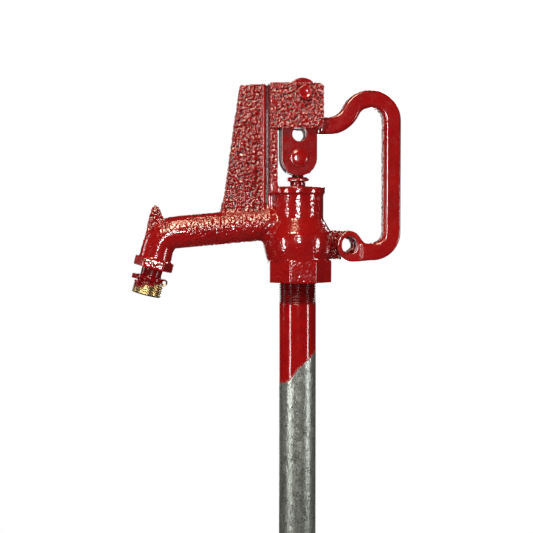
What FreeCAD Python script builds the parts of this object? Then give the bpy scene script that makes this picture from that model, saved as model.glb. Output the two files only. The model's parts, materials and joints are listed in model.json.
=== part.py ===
# Frost-proof yard hydrant, built as separate sub-parts in one document.
# Millimetres. Origin: centre of the inlet mouth at the foot of the valve body.
# +Z runs up the riser, the spout points to -X, the handle hangs on the +X side.
import FreeCAD, Part
import Sketcher
import math
import os
import re

V = FreeCAD.Vector
doc = FreeCAD.newDocument("yard_hydrant")

# ---------------------------------------------------------------- dimensions
# name, value (mm or degrees), meaning. Heights called *_h are above the underside of the head.
DIMENSIONS = [
    ("overall_height", 1067.0, "inlet mouth to the top of the handle hub"),
    ("head_height", 184.1, "underside of the head to the top of the handle hub"),
    ("riser_od", 33.4, "1 inch steel pipe"),
    ("riser_id", 26.6, "1 inch steel pipe"),
    ("socket_depth", 16.0, "pipe held in the head and in the valve body"),
    ("thread_pitch", 2.209, "11.5 threads per inch"),
    ("thread_depth", 1.2, "exposed pipe thread"),
    ("exposed_threads", 8.0, "turns showing under the head"),
    ("base_flats", 56.0, "octagon at the base of the head"),
    ("base_shift", 1.4, "octagon, cast off centre towards the grip"),
    ("base_h", 20.0, "top of the octagon"),
    ("ball_radius", 31.2, "widest point of the water chamber"),
    ("neck_radius", 23.3, "packing neck"),
    ("flange_radius", 24.8, "flange at the top of the neck"),
    ("flange_under_h", 79.8, "underside of the flange"),
    ("flange_h", 86.2, "top of the flange"),
    ("chamber_radius", 24.5, "inside of the water chamber"),
    ("gland_radius", 7.1, "packing gland"),
    ("gland_floor_h", 62.0, "floor of the packing gland"),
    ("stem_radius", 5.3, "polished stem"),
    ("stem_hole_radius", 5.7, "clearance around the stem"),
    ("post_left", 26.7, "outer face of the post, towards the spout"),
    ("post_right", 19.7, "inner face of the post"),
    ("post_width", 34.0, "post, across the yoke"),
    ("yoke_width", 37.8, "over both cheeks"),
    ("yoke_gap", 24.8, "between the cheeks"),
    ("yoke_right", 21.4, "free edge of the cheeks"),
    ("yoke_low_h", 137.8, "lower edge of the cheeks"),
    ("yoke_top_h", 178.5, "upper edge of the cheeks"),
    ("web_thickness", 10.0, "mast web"),
    ("web_top_left", 52.3, "upper corner of the mast web"),
    ("web_foot_left", 70.8, "foot of the mast web, on the spout"),
    ("web_foot_h", 58.0, "foot of the mast web"),
    ("spout_radius", 14.6, "outside of the spout"),
    ("spout_bore", 10.0, "inside of the spout"),
    ("spout_start_x", 10.0, "start of the spout axis inside the chamber"),
    ("spout_start_h", 53.8, "height of the spout axis there"),
    ("spout_slope", 4.85, "fall of the spout towards the elbow, degrees"),
    ("spout_run", 99.7, "straight part of the spout"),
    ("elbow_radius", 19.0, "bend radius of the elbow"),
    ("outlet_tilt", 14.7, "outlet axis from the vertical, degrees"),
    ("outlet_drop", 10.4, "straight part below the elbow"),
    ("collar_flats", 31.0, "hexagon collar round the outlet"),
    ("collar_depth", 8.7, "collar along the outlet axis"),
    ("shank_radius", 10.6, "nozzle shank, 1/2 inch pipe thread"),
    ("shank_length", 12.0, "nozzle shank"),
    ("nozzle_neck_radius", 9.6, "nozzle between collar and flange"),
    ("nozzle_neck_length", 7.0, "nozzle between collar and flange"),
    ("nozzle_flange_radius", 12.2, "stop flange of the nozzle"),
    ("nozzle_flange_depth", 4.6, "stop flange of the nozzle"),
    ("ear_reach", 16.4, "ear and eyelet of the stop flange"),
    ("ear_drop", 1.4, "ear, below the top of the stop flange"),
    ("ear_half_width", 3.5, "ear of the stop flange"),
    ("eyelet_radius", 3.2, "eyelet of the stop flange"),
    ("eyelet_hole", 1.4, "eyelet of the stop flange"),
    ("eyelet_thickness", 2.6, "eyelet of the stop flange"),
    ("nozzle_relief", 1.5, "groove between the stop flange and the thread"),
    ("hose_thread_radius", 13.45, "3/4 inch garden hose thread, outside"),
    ("hose_thread_length", 9.6, "3/4 inch garden hose thread, full width"),
    ("mouth_chamfer", 1.6, "bevel at the mouth of the nozzle"),
    ("nozzle_bore", 8.0, "water way through the nozzle"),
    ("fin_thickness", 6.0, "bucket hook on the elbow"),
    ("lug_inner", 7.0, "near face of the padlock lug"),
    ("lug_thickness", 7.0, "padlock lug"),
    ("lug_radius", 13.2, "round end of the padlock lug"),
    ("lug_centre_x", 42.5, "round end of the padlock lug"),
    ("lug_hole", 5.9, "padlock hole in the lug"),
    ("lug_hole_x", 44.8, "padlock hole in the lug"),
    ("ring_x", 46.8, "centre of the hole in the handle's ring"),
    ("ring_h", 33.4, "centre of the padlock hole"),
    ("pivot_x", 3.8, "handle pivot"),
    ("pivot_h", 169.6, "handle pivot"),
    ("crank_x", 0.2, "crank pin, handle shut"),
    ("crank_h", 152.7, "crank pin, handle shut"),
    ("rod_pin_h", 112.0, "rod pin, handle shut"),
    ("pin_radius", 4.0, "pivot bolt, crank pin and rod pin"),
    ("running_gap", 0.05, "radial clearance of a turning or sliding fit"),
    ("hub_radius", 14.5, "handle hub"),
    ("boss_radius", 10.6, "crank boss of the handle"),
    ("bushing_radius", 6.0, "pivot bushing"),
    ("handle_thickness", 12.6, "hub, boss and ring of the handle"),
    ("strap_width", 15.8, "handle strap"),
    ("strap_thickness", 15.6, "handle strap, across the yoke"),
    ("strap_edge", 2.4, "rounding of the strap's edges"),
    ("arm_h", 140.9, "centre line of the handle arm"),
    ("arm_start_x", 12.0, "start of the handle arm"),
    ("strap_start_x", 19.5, "start of the thick strap, clear of the links"),
    ("dip_x", 26.55, "centre of the arm's upward bend"),
    ("dip_radius", 23.9, "centre line of the upward bend"),
    ("crown_x", 66.0, "centre of the handle's crown"),
    ("crown_h", 146.0, "centre of the handle's crown"),
    ("crown_radius", 19.8, "centre line of the crown"),
    ("grip_low_h", 45.2, "lower end of the straight grip"),
    ("heel_radius", 17.8, "centre line of the heel"),
    ("shoulder_x", 57.6, "end of the thick strap, at the ring"),
    ("link_half_width", 16.2, "link plate"),
    ("link_inner", 6.6, "inner face of a link plate"),
    ("link_thickness", 5.2, "link plate"),
    ("link_top_radius", 12.0, "link plate round the crank pin"),
    ("link_window_h", 133.0, "window in the link plate"),
    ("link_window", 6.2, "window in the link plate"),
    ("eye_thickness", 12.4, "eye of the stem"),
    ("eye_half_width", 10.6, "eye of the stem"),
    ("eye_slot_radius", 5.1, "slot in the eye"),
    ("eye_slot_x", 0.7, "slot in the eye"),
    ("eye_slot_low_h", 107.2, "lower centre of the slot"),
    ("rod_radius", 4.76, "3/8 inch operating rod"),
    ("coupling_low_h", -80.0, "lower end of the rod coupling"),
    ("coupling_length", 36.0, "rod coupling"),
    ("valve_height", 98.0, "valve body"),
    ("inlet_radius", 12.4, "3/4 inch pipe thread, wall of the hole"),
    ("inlet_depth", 20.0, "3/4 inch pipe thread"),
    ("inlet_flats", 38.0, "wrench hexagon at the inlet"),
    ("inlet_hex_height", 22.0, "wrench hexagon at the inlet"),
    ("valve_bore", 15.2, "bore the plunger runs in"),
    ("seat_low", 26.0, "underside of the valve seat"),
    ("seat_height", 8.0, "valve seat"),
    ("seat_bore", 8.5, "water way through the seat"),
    ("plunger_radius", 10.5, "plunger"),
    ("disc_thickness", 6.0, "rubber disc of the plunger"),
    ("disc_gap", 0.3, "clearance drawn over the seat"),
    ("plunger_length", 24.0, "plunger"),
    ("drain_height", 40.0, "drain port"),
]

sheet = doc.addObject("Spreadsheet::Sheet", "Dims")
for row, (alias, value, meaning) in enumerate(DIMENSIONS, start=1):
    sheet.set("A%d" % row, alias)
    sheet.set("B%d" % row, "%.6g" % value)
    sheet.set("C%d" % row, meaning)
    sheet.setAlias("B%d" % row, alias)
doc.recompute()

ALIASES = {alias for alias, _, _ in DIMENSIONS}


# ------------------------------------------------------------------- helpers
def expr(text):
    """An expression with every dimension name pointed at the sheet."""
    return re.sub(r"[a-z_]+", lambda m: ("Dims." if m.group(0) in ALIASES else "") + m.group(0), str(text))


def number(text):
    """The value of an expression."""
    return float(sheet.evalExpression(expr(text)))


def drive(obj, prop, text):
    """Binds a property to the sheet."""
    obj.setExpression(prop, expr(text))


def new_body(label, height="0"):
    """A sub-part whose own zero is at the given height."""
    body = doc.addObject("PartDesign::Body", label)
    body.Label = label
    drive(body, "Placement.Base.z", height)
    return body


HEAD = "overall_height - head_height"


def head_body(label):
    return new_body(label, HEAD)


def sketch_on(body, role, shift=("0", "0", "0"), turn=None):
    """A sketch on one of the body's planes, shifted in the plane's own axes and turned."""
    sketch = body.newObject("Sketcher::SketchObject", body.Name + "_sketch")
    plane = [f for f in body.Origin.OriginFeatures if f.Role == role][0]
    sketch.AttachmentSupport = [(plane, "")]
    sketch.MapMode = "FlatFace"
    if turn is not None:
        axis, angle = turn
        sketch.AttachmentOffset = FreeCAD.Placement(V(0, 0, 0), FreeCAD.Rotation(axis, number(angle)))
    for letter, text in zip("xyz", shift):
        if text != "0":
            drive(sketch, "AttachmentOffset.Base." + letter, text)
    return sketch


def constrain(sketch, constraint, text):
    index = sketch.addConstraint(constraint)
    drive(sketch, "Constraints[%d]" % index, text)


def arc_between(start, end, radius):
    """The arc from start to end; a positive radius turns left, a negative one right."""
    chord = end - start
    offset = math.sqrt(max(radius * radius - chord.Length ** 2 / 4.0, 0.0))
    side = V(-chord.y, chord.x, 0).normalize() * math.copysign(1.0, radius)
    centre = (start + end) / 2.0 + side * offset
    out = (start + end) / 2.0 - centre
    if out.Length < 1e-6:
        out = side * -1.0
    middle = centre + out.normalize() * abs(radius)
    return Part.Arc(start, middle, end)


def hold_centre(sketch, index, start, end):
    """Fixes an arc by the coordinate of its centre that lies most nearly square to the chord."""
    (ax, ay), (bx, by, radius) = start[:2], end
    run, rise = "((%s) - (%s))" % (bx, ax), "((%s) - (%s))" % (by, ay)
    chord = "(%s ^ 2 + %s ^ 2)" % (run, rise)
    reach = "sqrt(abs((%s) ^ 2 / %s - 0.25))" % (radius, chord)
    sign = "-" if number(radius) < 0 else "+"
    if abs(number(run)) > abs(number(rise)):
        centre = "((%s) + (%s)) / 2 %s %s * %s" % (ay, by, sign, run, reach)
        constrain(sketch, Sketcher.Constraint("DistanceY", -1, 1, index, 3, number(centre)), centre)
    else:
        opposite = "-" if sign == "+" else "+"
        centre = "((%s) + (%s)) / 2 %s %s * %s" % (ax, bx, opposite, rise, reach)
        constrain(sketch, Sketcher.Constraint("DistanceX", -1, 1, index, 3, number(centre)), centre)


def outline(sketch, corners, closed=True):
    """Lines and arcs through the corners (x, y) or (x, y, radius of the arc that arrives there)."""
    points = [V(number(c[0]), number(c[1]), 0) for c in corners]
    count = len(corners) if closed else len(corners) - 1
    for i in range(count):
        j = (i + 1) % len(corners)
        if len(corners[j]) == 3:
            sketch.addGeometry(arc_between(points[i], points[j], number(corners[j][2])), False)
        else:
            sketch.addGeometry(Part.LineSegment(points[i], points[j]), False)
    starts, ends = [], []
    for i in range(count):
        j = (i + 1) % len(corners)
        turned = len(corners[j]) == 3 and number(corners[j][2]) < 0
        starts.append(2 if turned else 1)
        ends.append(1 if turned else 2)
    for i in range(count - (0 if closed else 1)):
        j = (i + 1) % count
        sketch.addConstraint(Sketcher.Constraint("Coincident", i, ends[i], j, starts[j]))
    for i in range(count):
        x, y = corners[i][0], corners[i][1]
        constrain(sketch, Sketcher.Constraint("DistanceX", -1, 1, i, starts[i], points[i].x), x)
        constrain(sketch, Sketcher.Constraint("DistanceY", -1, 1, i, starts[i], points[i].y), y)
        j = (i + 1) % len(corners)
        if len(corners[j]) == 3:
            hold_centre(sketch, i, corners[i], corners[j])
    if not closed:
        x, y = corners[-1][0], corners[-1][1]
        last = count - 1
        constrain(sketch, Sketcher.Constraint("DistanceX", -1, 1, last, ends[last], points[-1].x), x)
        constrain(sketch, Sketcher.Constraint("DistanceY", -1, 1, last, ends[last], points[-1].y), y)


def circle(sketch, x, y, radius):
    index = sketch.addGeometry(Part.Circle(V(number(x), number(y), 0), V(0, 0, 1), number(radius)), False)
    constrain(sketch, Sketcher.Constraint("Radius", index, number(radius)), radius)
    constrain(sketch, Sketcher.Constraint("DistanceX", -1, 1, index, 3, number(x)), x)
    constrain(sketch, Sketcher.Constraint("DistanceY", -1, 1, index, 3, number(y)), y)


def polygon(sketch, sides, flats, first_corner=0.0, x="0"):
    """A regular polygon round (x, 0), with one corner at the given angle in degrees."""
    step = 360.0 / sides
    corners = []
    for k in range(sides):
        angle = first_corner + step * k
        reach = "(%s) / (2 * cos(%g deg))" % (flats, step / 2)
        corners.append(("(%s) + %s * cos(%g deg)" % (x, reach, angle), "%s * sin(%g deg)" % (reach, angle)))
    outline(sketch, corners)


def hexagon(sketch, flats, first_corner=0.0):
    polygon(sketch, 6, flats, first_corner)


def feature(body, kind, sketch, **settings):
    """A sketch-based feature, with numbers set and text bound to the sheet."""
    made = body.newObject("PartDesign::" + kind, body.Name + "_" + kind)
    made.Profile = sketch
    for name, value in settings.items():
        if isinstance(value, str) and name not in ("Type", "Mode"):
            drive(made, name, value)
        else:
            setattr(made, name, value)
    doc.recompute()
    return made


def pad(body, sketch, length, midplane=False, back=False):
    return feature(body, "Pad", sketch, Length=length, Midplane=midplane, Reversed=back)


def pocket(body, sketch, length, midplane=False, back=False):
    return feature(body, "Pocket", sketch, Length=length, Midplane=midplane, Reversed=back)


def revolve(body, corners, kind="Revolution"):
    """Turns an outline in the XZ plane round the body's Z axis."""
    sketch = sketch_on(body, "XZ_Plane")
    outline(sketch, corners)
    return feature(body, kind, sketch, ReferenceAxis=(sketch, ["V_Axis"]), Angle=360.0)


def tube(label, outer, inner, low, high, height="0"):
    body = new_body(label, height)
    revolve(body, [(inner, low), (outer, low), (outer, high), (inner, high)])
    return body


def round_bar(label, radius, low, high, height="0"):
    return tube(label, radius, "0", low, high, height)


def plate(body, corners, thickness, start=None):
    """Pads an outline in the XZ plane: centred, or from Y = start towards +Y."""
    if start is None:
        sketch = sketch_on(body, "XZ_Plane")
        outline(sketch, corners)
        return pad(body, sketch, thickness, midplane=True)
    sketch = sketch_on(body, "XZ_Plane", ("0", "0", "-(%s)" % start))
    outline(sketch, corners)
    return pad(body, sketch, thickness, back=True)


def disc(body, x, z, radius, thickness, start=None):
    """Pads a circle in the XZ plane: centred, or from Y = start towards +Y."""
    if start is None:
        sketch = sketch_on(body, "XZ_Plane")
        circle(sketch, x, z, radius)
        return pad(body, sketch, thickness, midplane=True)
    sketch = sketch_on(body, "XZ_Plane", ("0", "0", "-(%s)" % start))
    circle(sketch, x, z, radius)
    return pad(body, sketch, thickness, back=True)


def cross_hole(body, x, z, radius):
    """A hole through the whole body along Y."""
    sketch = sketch_on(body, "XZ_Plane")
    circle(sketch, x, z, radius)
    return pocket(body, sketch, "2 * yoke_width", midplane=True)


def edges_along_y(shape, spots, tolerance=0.6):
    """Names of the straight edges that run along Y through the given (x, z) spots."""
    names = []
    for index, edge in enumerate(shape.Edges, start=1):
        ends = [v.Point for v in edge.Vertexes]
        if len(ends) != 2 or abs(ends[0].x - ends[1].x) > 0.01 or abs(ends[0].z - ends[1].z) > 0.01:
            continue
        if any(math.hypot(ends[0].x - x, ends[0].z - z) < tolerance for x, z in spots):
            names.append("Edge%d" % index)
    return names


def round_corners(body, spots, radius):
    """Fillets edges along Y; spots are in the body's own axes."""
    base = body.Tip
    made = body.newObject("PartDesign::Fillet", body.Name + "_fillet")
    made.Base = (base, edges_along_y(base.Shape, [(number(x), number(z)) for x, z in spots]))
    made.Radius = radius
    doc.recompute()
    return made


# ---------------------------------------------------------------- the head
# The spout axis: a straight fall, the elbow, then a short drop to the collar.
ARC_IN_X = "(-spout_start_x - spout_run * cos(spout_slope * 1 deg))"
ARC_IN_H = "(spout_start_h - spout_run * sin(spout_slope * 1 deg))"
ELBOW_X = "(%s + elbow_radius * sin(spout_slope * 1 deg))" % ARC_IN_X
ELBOW_H = "(%s - elbow_radius * cos(spout_slope * 1 deg))" % ARC_IN_H
ARC_OUT_X = "(%s - elbow_radius * cos(outlet_tilt * 1 deg))" % ELBOW_X
ARC_OUT_H = "(%s + elbow_radius * sin(outlet_tilt * 1 deg))" % ELBOW_H
COLLAR_X = "(%s - outlet_drop * sin(outlet_tilt * 1 deg))" % ARC_OUT_X
COLLAR_H = "(%s - outlet_drop * cos(outlet_tilt * 1 deg))" % ARC_OUT_H
OUTLET_X = "(%s - collar_depth * sin(outlet_tilt * 1 deg))" % COLLAR_X
OUTLET_H = "(%s - collar_depth * cos(outlet_tilt * 1 deg))" % COLLAR_H


def spout_pipe(body, kind, radius):
    """The spout's outside or its bore, swept along the spout axis."""
    spine = sketch_on(body, "XZ_Plane")
    outline(spine, [("-spout_start_x", "spout_start_h"), (ARC_IN_X, ARC_IN_H),
                    (ARC_OUT_X, ARC_OUT_H, "elbow_radius"), (COLLAR_X, COLLAR_H)], closed=False)
    ring = sketch_on(body, "YZ_Plane", ("0", "spout_start_h", "-spout_start_x"), (V(1, 0, 0), "-spout_slope"))
    circle(ring, "0", "0", radius)
    return feature(body, kind, ring, Spine=(spine, [""]), Mode="Standard")


def outlet_sketch(body, x, height):
    """A sketch square to the outlet axis."""
    return sketch_on(body, "XY_Plane", (x, "0", height), (V(0, 1, 0), "outlet_tilt"))


def head_casting():
    body = head_body("head_casting")
    base = sketch_on(body, "XY_Plane")
    polygon(base, 8, "base_flats", 22.5, "base_shift")
    pad(body, base, "base_h")
    revolve(body, [("0", "6"), ("25", "6"), ("25", "14"), ("ball_radius - 2.8", "20.5"),
                   ("ball_radius - 0.8", "28"), ("ball_radius - 0.4", "45", "40"),
                   ("neck_radius", "57.4"), ("neck_radius", "flange_under_h"),
                   ("flange_radius", "flange_under_h"), ("flange_radius", "flange_h"), ("0", "flange_h")])
    seat = sketch_on(body, "XY_Plane", ("0", "0", "flange_under_h"))
    outline(seat, [("-post_left", "-post_width / 2"), ("-4", "-post_width / 2"),
                   ("-4", "post_width / 2"), ("-post_left", "post_width / 2")])
    pad(body, seat, "flange_h - flange_under_h")
    plate(body, [("-post_left", "flange_under_h"), ("-post_right", "flange_under_h"),
                 ("-post_right", "yoke_top_h"), ("-post_left", "yoke_top_h")], "post_width")
    plate(body, [("-post_left", "yoke_low_h"), ("yoke_right", "yoke_low_h"),
                 ("yoke_right", "yoke_top_h"), ("-post_left", "yoke_top_h")], "yoke_width")
    gap = sketch_on(body, "XZ_Plane")
    outline(gap, [("-post_right", "yoke_low_h - 5"), ("yoke_right + 5", "yoke_low_h - 5"),
                  ("yoke_right + 5", "yoke_top_h + 5"), ("-post_right", "yoke_top_h + 5")])
    pocket(body, gap, "yoke_gap", midplane=True)
    plate(body, [("-20.5", "web_foot_h - 6"), ("-20.5", "yoke_top_h"), ("-web_top_left", "yoke_top_h - 1.2"),
                 ("-58.2", "139"), ("-62.6", "106.5"), ("-66.5", "79.2"),
                 ("-web_foot_left", "web_foot_h + 4"), ("-web_foot_left", "web_foot_h - 9")], "web_thickness")
    round_corners(body, [("yoke_right", "yoke_top_h"), ("yoke_right", "yoke_low_h"),
                         ("-web_top_left", "yoke_top_h - 1.2")], 3.0)
    spout_pipe(body, "AdditivePipe", "spout_radius")
    collar = outlet_sketch(body, COLLAR_X, COLLAR_H)
    hexagon(collar, "collar_flats")
    pad(body, collar, "collar_depth", back=True)
    plate(body, [("-116", "52"), ("-119.6", "56.4"), ("-123", "61.8"), ("-124.9", "67.8"), ("-128.4", "69.8"),
                 ("-131.9", "66.9"), ("-134.4", "55.9"), ("-136.4", "48"), ("-138.8", "37.2"),
                 ("-142", "26"), ("-128", "30")], "fin_thickness")
    plate(body, [("24", "ring_h - lug_radius"), ("lug_centre_x", "ring_h - lug_radius"),
                 ("lug_centre_x", "ring_h + lug_radius", "lug_radius"), ("24", "ring_h + lug_radius")],
          "lug_thickness", "lug_inner")
    revolve(body, [("0", "-1"), ("riser_od / 2", "-1"), ("riser_od / 2", "socket_depth"),
                   ("14", "socket_depth"), ("chamber_radius - 1", "27"), ("chamber_radius", "42"),
                   ("17", "54"), ("stem_hole_radius", "56"),
                   ("stem_hole_radius", "gland_floor_h"), ("gland_radius", "gland_floor_h"),
                   ("gland_radius", "flange_h + 1"), ("0", "flange_h + 1")], "Groove")
    spout_pipe(body, "SubtractivePipe", "spout_bore")
    socket = outlet_sketch(body, OUTLET_X, OUTLET_H)
    circle(socket, "0", "0", "shank_radius")
    pocket(body, socket, "shank_length", back=True)
    cross_hole(body, "lug_hole_x", "ring_h", "lug_hole")
    cross_hole(body, "pivot_x", "pivot_h", "pin_radius")


def hose_nozzle():
    body = new_body("hose_nozzle")
    drive(body, "Placement.Base.x", OUTLET_X)
    drive(body, "Placement.Base.z", "%s + %s" % (HEAD, OUTLET_H))
    body.Placement.Rotation = FreeCAD.Rotation(V(0, 1, 0), number("outlet_tilt"))
    flange_top = "-nozzle_neck_length"
    thread_top = "-(nozzle_neck_length + nozzle_flange_depth + nozzle_relief)"
    thread_low = "%s - hose_thread_length" % thread_top
    mouth = "%s - mouth_chamfer" % thread_low
    revolve(body, [("nozzle_bore", "shank_length"), ("nozzle_bore", mouth),
                   ("hose_thread_radius - mouth_chamfer", mouth), ("hose_thread_radius", thread_low),
                   ("hose_thread_radius", thread_top), ("nozzle_neck_radius + 1", thread_top),
                   ("nozzle_neck_radius", flange_top), ("nozzle_neck_radius", "0"), ("shank_radius", "0"),
                   ("shank_radius", "shank_length")])
    flange = sketch_on(body, "XY_Plane", ("0", "0", flange_top))
    circle(flange, "0", "0", "nozzle_flange_radius")
    circle(flange, "0", "0", "nozzle_bore")
    pad(body, flange, "nozzle_flange_depth", back=True)
    ear = sketch_on(body, "XY_Plane", ("0", "0", flange_top + " - ear_drop"))
    outline(ear, [("-ear_reach", "-ear_half_width"), ("-9", "-ear_half_width"), ("-9", "ear_half_width"),
                  ("-ear_reach", "ear_half_width")])
    pad(body, ear, "nozzle_flange_depth - ear_drop", back=True)
    eyelet = sketch_on(body, "XZ_Plane")
    centre = ("ear_reach - eyelet_radius", "%s - nozzle_flange_depth / 2 - 0.5" % flange_top)
    circle(eyelet, *centre, "eyelet_radius")
    circle(eyelet, *centre, "eyelet_hole")
    pad(body, eyelet, "eyelet_thickness", midplane=True)


# ------------------------------------------------------- packing and pivot
def packing_set():
    tube("gland_washer", "gland_radius", "stem_hole_radius", "gland_floor_h", "gland_floor_h + 1.5", HEAD)
    rings = head_body("packing_rings")
    for k in range(3):
        low = "gland_floor_h + 1.5 + %g" % (3.2 * k)
        revolve(rings, [("stem_radius + running_gap", low), ("gland_radius", low),
                        ("gland_radius", low + " + 3.2"), ("stem_radius + running_gap", low + " + 3.2")])
    tube("packing_follower", "gland_radius", "stem_hole_radius",
         "gland_floor_h + 11.1", "gland_floor_h + 14", HEAD)
    nut = head_body("packing_nut")
    revolve(nut, [("stem_hole_radius", "gland_floor_h + 14"), ("gland_radius", "gland_floor_h + 14"),
                  ("gland_radius", "flange_h + 4.4"), ("stem_hole_radius", "flange_h + 4.4")])
    top = sketch_on(nut, "XY_Plane", ("0", "0", "flange_h + 4.4"))
    hexagon(top, "19", 30.0)
    circle(top, "0", "0", "stem_hole_radius")
    pad(nut, top, "4.3")


def pivot_set():
    bolt = head_body("pivot_bolt")
    disc(bolt, "pivot_x", "pivot_h", "pin_radius", "yoke_width + 12", "-yoke_width / 2 - 2")
    cap = sketch_on(bolt, "XZ_Plane", ("pivot_x", "pivot_h", "yoke_width / 2"))
    hexagon(cap, "11.8", 30.0)
    pad(bolt, cap, "4.6")
    washer = head_body("pivot_washer")
    ring = sketch_on(washer, "XZ_Plane", ("pivot_x", "pivot_h", "-yoke_width / 2"))
    circle(ring, "0", "0", "8")
    circle(ring, "0", "0", "pin_radius")
    pad(washer, ring, "1.4", back=True)
    nut = head_body("pivot_nut")
    six = sketch_on(nut, "XZ_Plane", ("pivot_x", "pivot_h", "-yoke_width / 2 - 1.4"))
    hexagon(six, "13", 30.0)
    circle(six, "0", "0", "pin_radius")
    pad(nut, six, "6.2", back=True)


# --------------------------------------------------------- handle and link
def handle_lever():
    body = head_body("handle_lever")
    disc(body, "pivot_x", "pivot_h", "hub_radius", "handle_thickness")
    disc(body, "crank_x", "crank_h", "boss_radius", "handle_thickness")
    plate(body, [("pivot_x - hub_radius", "pivot_h"), ("crank_x - boss_radius", "crank_h"),
                 ("crank_x - 1.5", "crank_h - boss_radius + 0.3"), ("arm_start_x", "arm_h - strap_width / 2"),
                 ("dip_x - 1", "arm_h - strap_width / 2"), ("dip_x - 1", "arm_h + strap_width / 2"),
                 ("pivot_x + hub_radius + 1", "arm_h + strap_width / 2"),
                 ("pivot_x + hub_radius", "pivot_h - 4")], "handle_thickness")
    meet_x = "crown_x + (dip_x - crown_x) * crown_radius / (crown_radius + dip_radius)"
    meet_h = "crown_h + (arm_h + dip_radius - crown_h) * crown_radius / (crown_radius + dip_radius)"
    spine = sketch_on(body, "XZ_Plane")
    outline(spine, [("strap_start_x", "arm_h"), ("dip_x", "arm_h"), (meet_x, meet_h, "dip_radius"),
                    ("crown_x + crown_radius", "crown_h", "-crown_radius"),
                    ("crown_x + crown_radius", "grip_low_h"),
                    ("crown_x + crown_radius - heel_radius", "grip_low_h - heel_radius", "-heel_radius"),
                    ("shoulder_x", "grip_low_h - heel_radius")], closed=False)
    section = sketch_on(body, "YZ_Plane", ("0", "arm_h", "strap_start_x"))
    half_t, half_w, r = "strap_thickness / 2", "strap_width / 2", "strap_edge"
    outline(section, [("-%s + %s" % (half_t, r), "-%s" % half_w), ("%s - %s" % (half_t, r), "-%s" % half_w),
                      (half_t, "-%s + %s" % (half_w, r), r), (half_t, "%s - %s" % (half_w, r)),
                      ("%s - %s" % (half_t, r), half_w, r), ("-%s + %s" % (half_t, r), half_w),
                      ("-" + half_t, "%s - %s" % (half_w, r), r), ("-" + half_t, "-%s + %s" % (half_w, r)),
                      ("-%s + %s" % (half_t, r), "-%s" % half_w, r)][:-1])
    feature(body, "AdditivePipe", section, Spine=(spine, [""]), Mode="Standard")
    plate(body, [("shoulder_x + 8", "34.6"), ("shoulder_x + 8", "19.6"), ("56", "18.6"), ("49.5", "18.2"),
                 ("35.4", "33", "-14.2"), ("47.1", "46.7", "-13"), ("55.9", "41.5", "-10.8"),
                 ("58.6", "37.8"), ("64.2", "34.8", "7.5")], "handle_thickness")
    oval = sketch_on(body, "XZ_Plane")
    outline(oval, [("ring_x - 6.7", "ring_h - 1.2"), ("ring_x + 6.7", "ring_h - 1.2", "6.7"),
                   ("ring_x + 6.7", "ring_h + 1.2"), ("ring_x - 6.7", "ring_h + 1.2", "6.7")])
    pocket(body, oval, "2 * handle_thickness", midplane=True)
    cross_hole(body, "pivot_x", "pivot_h", "bushing_radius")
    cross_hole(body, "crank_x", "crank_h", "pin_radius + running_gap")


def pivot_bushing():
    body = head_body("pivot_bushing")
    ring = sketch_on(body, "XZ_Plane")
    circle(ring, "pivot_x", "pivot_h", "bushing_radius")
    circle(ring, "pivot_x", "pivot_h", "pin_radius + running_gap")
    pad(body, ring, "handle_thickness", midplane=True)


def link_plate(label, start):
    body = head_body(label)
    plate(body, [("-link_half_width", "rod_pin_h"), ("link_half_width", "rod_pin_h", "link_half_width"),
                 ("link_half_width", "crank_h - 12"), ("crank_x + link_top_radius", "crank_h"),
                 ("crank_x - link_top_radius", "crank_h", "link_top_radius"),
                 ("-link_half_width", "crank_h - 12")], "link_thickness", start)
    cross_hole(body, "crank_x", "crank_h", "pin_radius")
    cross_hole(body, "0", "rod_pin_h", "pin_radius")
    cross_hole(body, "0", "link_window_h", "link_window")


def link_pins():
    outer = "link_inner + link_thickness"
    crank = head_body("crank_pin")
    disc(crank, "crank_x", "crank_h", "pin_radius", "2 * (%s)" % outer)
    pin = head_body("rod_pin")
    disc(pin, "0", "rod_pin_h", "pin_radius", "2 * (%s) + 3" % outer, "-(%s)" % outer)
    dome = sketch_on(pin, "XZ_Plane", ("0", "rod_pin_h", outer))
    circle(dome, "0", "0", "8.2")
    head = pad(pin, dome, "3.6")
    edges = head.Shape.Edges
    front = min(range(len(edges)), key=lambda i: edges[i].BoundBox.YMax)
    rim = pin.newObject("PartDesign::Fillet", "rod_pin_dome")
    rim.Base = (head, ["Edge%d" % (front + 1)])
    rim.Radius = 3.0
    doc.recompute()
    clip = head_body("rod_pin_clip")
    ring = sketch_on(clip, "XZ_Plane", ("0", "rod_pin_h", "-(%s)" % outer))
    circle(ring, "0", "0", "7")
    circle(ring, "0", "0", "pin_radius")
    pad(clip, ring, "1.6", back=True)


# --------------------------------------------------------------- the rod
def stem_eye():
    body = head_body("stem_eye")
    top = "rod_pin_h + 0.2"
    left, right = "-eye_half_width + 0.5", "eye_half_width + 0.5"
    plate(body, [(left, "98"), (right, "98"), (right, top), (left, top, "eye_half_width")], "eye_thickness")
    slot = sketch_on(body, "XZ_Plane")
    left, right = "eye_slot_x - eye_slot_radius", "eye_slot_x + eye_slot_radius"
    outline(slot, [(left, "eye_slot_low_h"), (right, "eye_slot_low_h", "eye_slot_radius"),
                   (right, top), (left, top, "eye_slot_radius")])
    pocket(body, slot, "2 * eye_thickness", midplane=True)
    mouth = sketch_on(body, "XY_Plane", ("0", "0", "98"))
    circle(mouth, "0", "0", "stem_radius")
    pocket(body, mouth, "2.5", back=True)


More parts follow.
